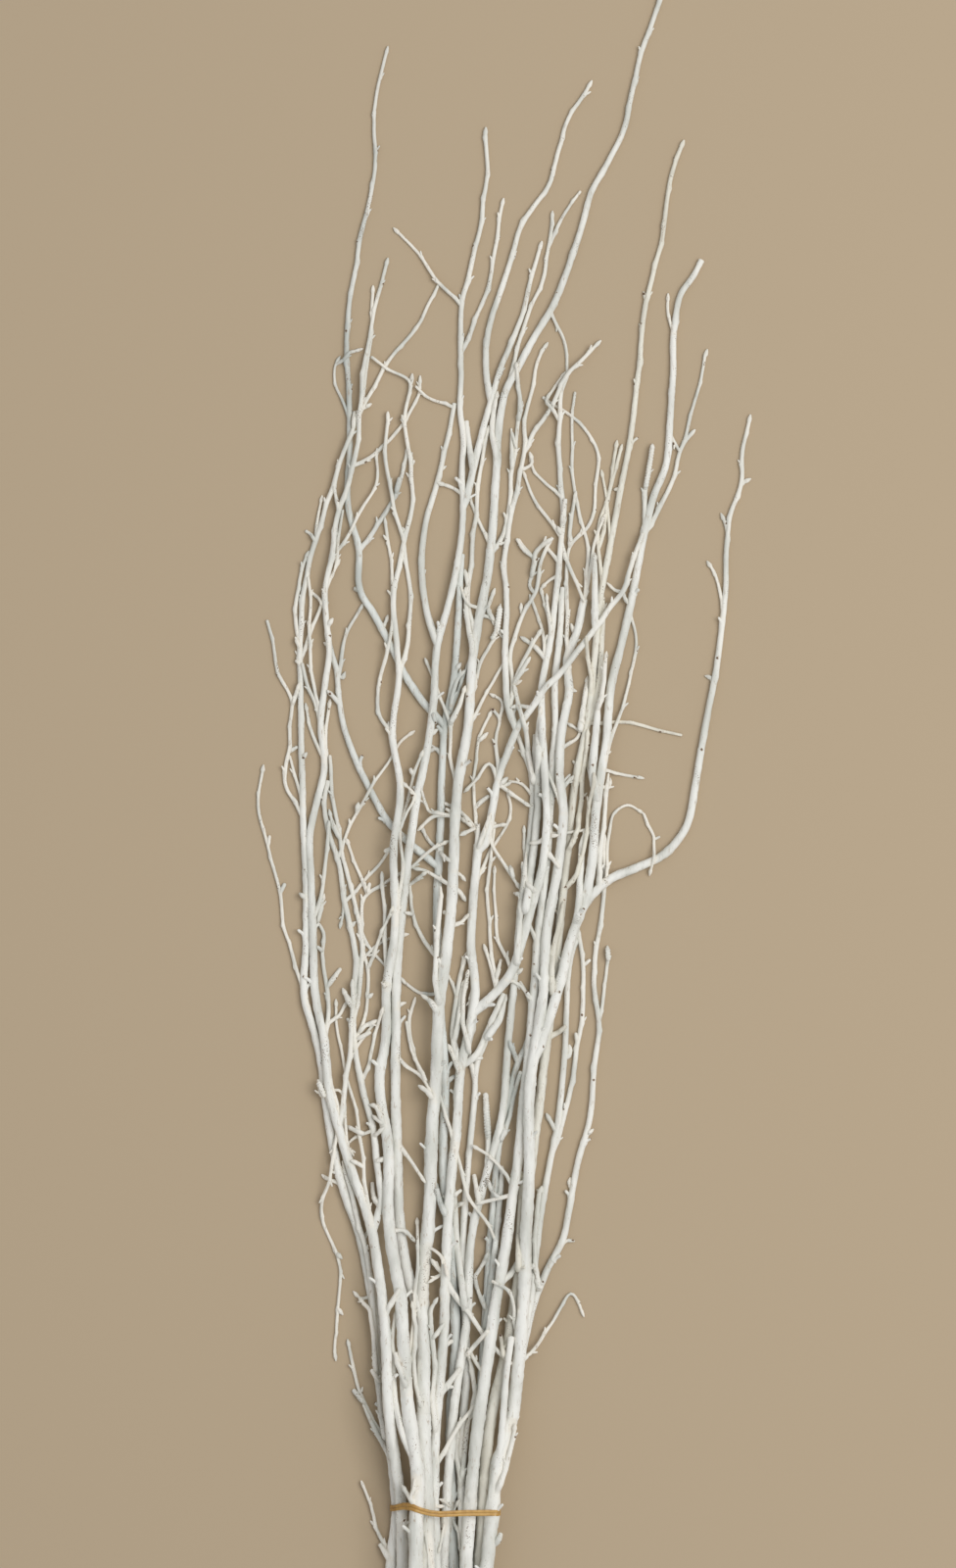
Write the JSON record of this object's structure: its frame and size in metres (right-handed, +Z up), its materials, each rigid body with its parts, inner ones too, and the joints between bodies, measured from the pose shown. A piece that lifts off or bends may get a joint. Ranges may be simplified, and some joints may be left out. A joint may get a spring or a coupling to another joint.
{
  "type": "tied bundle of white-painted birch branches",
  "caption": "Slender white-painted birch stems with forked, twiggy tips, lying flat and tied near the cut ends by one rubber band.",
  "frame": {"origin": "centre of the bundle's bounding rectangle seen from above, on the surface that it lies on", "axes": "+Y from the cut ends towards the tips, +X to the right as seen from above with the tips up, +Z up"},
  "size_m": [0.3528, 1.1905, 0.0428],
  "materials": {
    "white_paint": "chalky white paint over thin bark, matt, with chips that show dark wood",
    "cream_paint": "thin creamy white paint over yellowish bark, matt",
    "grey_paint": "thin greyish white paint, matt",
    "golden_rubber": "translucent golden-brown rubber band, slightly glossy"
  },
  "bodies": {
    "root": {"rubber_band": "golden_rubber", "stem_01": "white_paint", "stem_02": "white_paint", "stem_02_outer_shoot": "white_paint", "stem_03": "white_paint", "stem_03_thin_shoot": "white_paint", "stem_04": "white_paint", "stem_04_inner_arm": "white_paint", "stem_04_leader_shoot": "white_paint", "stem_04_left_fork": "white_paint", "stem_04_tall_shoot": "white_paint", "stem_05": "white_paint", "stem_05_left_arm": "white_paint", "stem_05_middle_shoot": "white_paint", "stem_05_slant_arm": "white_paint", "stem_05_upper_arm": "white_paint", "stem_06": "grey_paint", "stem_06_left_limb": "grey_paint", "stem_06_long_limb": "grey_paint", "stem_07": "white_paint", "stem_08": "white_paint", "stem_09": "grey_paint", "stem_10": "white_paint", "stem_10_outer_shoot": "white_paint", "stem_10_right_limb": "white_paint", "stem_10_right_shoot": "white_paint", "stem_10_tall_limb": "white_paint", "stem_11": "grey_paint", "stem_12": "white_paint", "stem_13": "cream_paint"}
  },
  "joints": []
}
